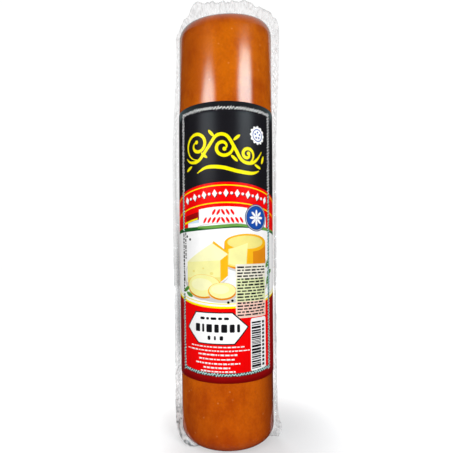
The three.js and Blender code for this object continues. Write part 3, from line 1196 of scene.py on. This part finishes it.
def make_skin():
    """The film where it clings to the log. Returns points, faces, haze and painted shade."""
    walk = Walk(half_outline())
    share = np.linspace(0, 1, SKIN_RINGS + 1)
    share = share + 0.012 * np.sin(2 * math.pi * share)
    turn = np.linspace(0, 2 * math.pi, SKIN_SEGMENTS, endpoint=False)
    share, turn = np.meshgrid(share, turn, indexing="ij")
    spot = walk.point(share)
    run = walk.direction(share)
    radius = spot[..., 0] + FILM_LIFT * run[..., 1]
    radius[-1] = 0
    z = np.maximum(spot[..., 1] - FILM_LIFT * run[..., 0], SKIN_LOWEST)
    points = settle(np.stack([radius * np.sin(turn), -radius * np.cos(turn), z], -1))
    points = points.reshape(-1, 3)
    faces = []
    for i in range(SKIN_RINGS):
        for j in range(SKIN_SEGMENTS):
            a = i * SKIN_SEGMENTS + j
            b = i * SKIN_SEGMENTS + (j + 1) % SKIN_SEGMENTS
            faces.append((a, b, b + SKIN_SEGMENTS, a + SKIN_SEGMENTS))
    x, y, height = points.T
    near_fin = (1 - smoothstep(np.hypot(np.abs(x) - LOG_RADIUS, y), 1, 17)) ** 3
    near_top = smoothstep(height, LOG_HEIGHT - 16, LOG_HEIGHT - 4)
    near_foot = 1 - smoothstep(height, 2, 15)
    streaks = crinkle(x * 1.4, y * 1.4, height * 0.35, 0.16, 3)
    haze = 0.001 + 0.02 * near_fin + 0.03 * near_top + 0.01 * near_foot
    haze += streaks * (0.03 * near_fin + 0.05 * near_top + 0.03 * near_foot)
    # The skin's painted shade: greyer along its streaks
    return points, faces, haze, streaks * 0.4


def make_pouch():
    """The whole pouch in one mesh: its free rim, and the skin on the log."""
    points, faces, *rim_values = make_rim()
    skin_points, skin_faces, *skin_values = make_skin()
    start = len(points)
    faces += [tuple(start + k for k in face) for face in skin_faces]
    mesh = mesh_from("vacuum_pouch", np.concatenate([points, skin_points]), faces)
    for name, *values in zip(("haze", "painted_film_shade"), rim_values, skin_values):
        store(mesh, name, np.concatenate(values))
    mesh.materials.append(film_material())
    finish_piece("vacuum_pouch", mesh, "vacuum_pouch_rim", closed=False)


# ------------ building

make_log()
make_label()
marks_tree = printed_marks_tree()
border = border_marks()
make_marks("border_marks_upper", "grey", border["upper"])
make_marks("border_marks_lower", "teal", border["lower"])
dark_marks, white_marks, code_bars = small_print()
make_marks("small_print_dark", "black", dark_marks)
make_marks("small_print_white", "white", white_marks)
make_marks("code_bars", "black", code_bars)
make_pouch()


# ------------ floor, light and camera

FLOOR_SIZE = 6.0
# The floor's painted shadow round the foot: its middle, the distances over which the floor's glow
# rises, and the glow at both ends
FLOOR_SHADE_MIDDLE = (0.026, 0.0, 0.0)
FLOOR_SHADE_REACH = (0.035, 0.2)
FLOOR_GLOW = (0.4, 1.0)
FLOOR_COLOUR = (0.42, 0.43, 0.44, 1)

# The world's strength as a light, in gloss, and where the camera looks past the log
WORLD_LIGHT = 0.3
WORLD_IN_GLOSS = 0.02
WORLD_SEEN = 1.02

# The sheens' tint low and high, and the heights between which it changes
SHEEN_ON_LABEL = (0.84, 0.87, 0.92, 1)
SHEEN_ON_RIND = (0.68, 1.0, 1.03, 1)
SHEEN_CHANGE = (0.66, 0.765)
SHEEN_COLUMNS = 24
SHEEN_ROWS = 40

# Each sheen: azimuth from the front in degrees, half width, low, full and high, the slants of its left
# and right edge, and its strength
SHEENS = {
    "sheen_right": (47, 0.4, 0.42, 0.84, 0.915, (0.35, 0.35), 15.2),
    "sheen_left": (-44, 0.47, 0.42, 0.62, 0.915, (1.1, 0.2), 14.0),
    "sheen_back": (180, 0.16, 0.2, 0.7, 0.95, (0.5, 0.5), 6.0),
}

# The panel overhead: its height, half width, front and back, strips and strength
CEILING_HEIGHT = 1.3
CEILING_HALF_WIDTH = 1.2
CEILING_SPAN = (-1.0, 2.4)
CEILING_STRIPS = 12
CEILING_STRENGTH = 0.75

# Each upright fill: azimuth in degrees, distance, low, high, width and power
FILLS = {
    "fill_right": (36, 1.6, 0.35, 1.35, 0.8, 22.0),
    "fill_back": (180, 1.6, 0.1, 1.3, 1.2, 22.0),
    "fill_left": (-48, 1.6, -0.35, 1.0, 0.8, 19.2),
}
TOP_FILL_HEIGHT = 1.5
TOP_FILL_SIZE = 0.8
TOP_FILL_POWER = 2.5

CAMERA_PLACE = (-0.0004, -0.4258, 0.2075)
CAMERA_ROLL = math.radians(0.43)
FOCAL_PIXELS = 382.6
FRAME_PIXELS = 453.0
HORIZON_BELOW_MIDDLE = 19.0
SENSOR = 36.0


def make_floor():
    """A pale floor that glows, less round the log's foot: a painted shadow there, a little to the right
    of the log.
    """
    bpy.ops.mesh.primitive_plane_add(size=FLOOR_SIZE, location=FLOOR_SHADE_MIDDLE)
    floor = bpy.context.object
    floor.name = "studio_floor"
    material, tree, shader = new_material("pale_floor")
    settings = {"operation": "LENGTH"}
    away = add_node(tree, "ShaderNodeVectorMath", settings, Vector=object_place(tree)).outputs["Value"]
    # Painted shadow: the floor glows less close to the log
    glow = remap(tree, away, *FLOOR_SHADE_REACH, *FLOOR_GLOW)
    feed(tree, shader, Base_Color=FLOOR_COLOUR, Roughness=0.9, Specular_IOR_Level=0.0)
    feed(tree, shader, Emission_Color=WHITE, Emission_Strength=glow)
    floor.data.materials.append(material)
    floor.visible_glossy = False
    floor.visible_diffuse = False


def make_panel(name, points, faces, glow, strength):
    """A glowing panel that only gloss can see."""
    mesh = mesh_from(name, points, faces)
    store(mesh, "glow", glow)
    material = bpy.data.materials.new(name)
    material.use_nodes = True
    tree = material.node_tree
    tree.nodes.clear()
    height = parts(tree, object_place(tree))[2]
    tint = mixed(tree, remap(tree, height, *SHEEN_CHANGE, kind="LINEAR"), SHEEN_ON_LABEL, SHEEN_ON_RIND)
    strength = attribute(tree, "glow") * strength
    light = add_node(tree, "ShaderNodeEmission", Strength=strength, Color=tint)
    add_node(tree, "ShaderNodeOutputMaterial", Surface=light.outputs["Emission"])
    mesh.materials.append(material)
    panel = add_object(name, mesh)
    panel.visible_camera = False
    panel.visible_diffuse = False
    panel.visible_shadow = False
    panel.visible_transmission = False


def make_sheen(name, degrees, half_width, low, full, high, slants, strength):
    """An upright panel that shows in the gloss alone. Above full it narrows and fades towards high,
    at its left and right edges by their slants."""
    azimuth = math.radians(degrees)
    columns = np.linspace(-1, 1, SHEEN_COLUMNS + 1)
    up, across = np.meshgrid(np.linspace(0, 1, SHEEN_ROWS + 1), columns, indexing="ij")
    height = lerp(low, high, up)
    narrowing = np.clip((height - full) / (high - full), 0, 1)
    left = across + 1 - slants[0] * narrowing**1.5
    right = 1 - across - slants[1] * narrowing**1.5
    glow = smoothstep(np.minimum(left, right), 0.0, 0.6)
    glow = glow * smoothstep(up, 0.0, 0.2) * (1 - smoothstep(narrowing, 0.46, 0.91))
    sideways = np.array([math.cos(azimuth), math.sin(azimuth), 0.0])
    middle = np.array([math.sin(azimuth), -math.cos(azimuth), 0.0])
    points = middle + (across * half_width)[..., None] * sideways
    points[..., 2] = height
    faces = sheet_faces(SHEEN_ROWS, SHEEN_COLUMNS)
    make_panel(name, points.reshape(-1, 3), faces, glow.ravel(), strength)


def make_ceiling():
    """A faint panel overhead, which shows in the gloss of the shoulder and fades to the front."""
    points, glow = [], []
    for share in np.linspace(0, 1, CEILING_STRIPS + 1):
        for across in (-CEILING_HALF_WIDTH, CEILING_HALF_WIDTH):
            points.append((across, lerp(*CEILING_SPAN, share), CEILING_HEIGHT))
            glow.append(smoothstep(share, 0.0, 0.45))
    faces = [(2 * k, 2 * k + 1, 2 * k + 3, 2 * k + 2) for k in range(CEILING_STRIPS)]
    make_panel("overhead", points, faces, glow, CEILING_STRENGTH)


def make_lamp(name, place, width, height, power):
    """A soft light that shines down until it's turned, and doesn't show in the gloss."""
    light = bpy.data.lights.new(name, "AREA")
    light.shape = "RECTANGLE"
    light.size = width
    light.size_y = height
    light.energy = power
    lamp = add_object(name, light)
    lamp.location = place
    lamp.visible_glossy = False
    return lamp


def make_fill(name, degrees, distance, low, high, width, power):
    """An upright soft light at an azimuth from the front, turned to the log."""
    azimuth = math.radians(degrees)
    middle = (low + high) / 2
    place = Vector((distance * math.sin(azimuth), -distance * math.cos(azimuth), middle))
    to_log = Vector((0, 0, middle)) - place
    lamp = make_lamp(name, place, width, high - low, power)
    lamp.rotation_euler = to_log.to_track_quat("-Z", "Y").to_euler()


def make_world():
    """White where the camera looks past the log, a soft grey light, and dark in reflections."""
    world = bpy.data.worlds.new("studio")
    world.use_nodes = True
    tree = world.node_tree
    tree.nodes.clear()
    rays = tree.nodes.new("ShaderNodeLightPath").outputs
    seen = add_node(tree, "ShaderNodeBackground", Color=WHITE, Strength=WORLD_LIGHT).outputs[0]
    for ray, strength in (("Is Glossy Ray", WORLD_IN_GLOSS), ("Is Camera Ray", WORLD_SEEN)):
        other = add_node(tree, "ShaderNodeBackground", Color=WHITE, Strength=strength).outputs[0]
        either = add_node(tree, "ShaderNodeMixShader", Fac=rays[ray])
        put(tree, either.inputs[1], seen)
        put(tree, either.inputs[2], other)
        seen = either.outputs[0]
    add_node(tree, "ShaderNodeOutputWorld", Surface=seen)
    bpy.context.scene.world = world


def make_camera():
    """A level camera in front of the label, with a small vertical shift and a slight roll."""
    camera = bpy.data.cameras.new("camera")
    camera.sensor_width = SENSOR
    camera.lens = FOCAL_PIXELS / FRAME_PIXELS * SENSOR
    camera.shift_y = HORIZON_BELOW_MIDDLE / FRAME_PIXELS
    camera.clip_start = 0.01
    holder = add_object("camera", camera)
    holder.location = CAMERA_PLACE
    holder.rotation_euler = (math.pi / 2, CAMERA_ROLL, 0)
    bpy.context.scene.camera = holder


make_floor()
make_world()
for name, values in SHEENS.items():
    make_sheen(name, *values)
make_ceiling()
for name, values in FILLS.items():
    make_fill(name, *values)
make_lamp("fill_top", (0, 0, TOP_FILL_HEIGHT), TOP_FILL_SIZE, TOP_FILL_SIZE, TOP_FILL_POWER)
make_camera()
bpy.context.scene.view_settings.view_transform = "Standard"
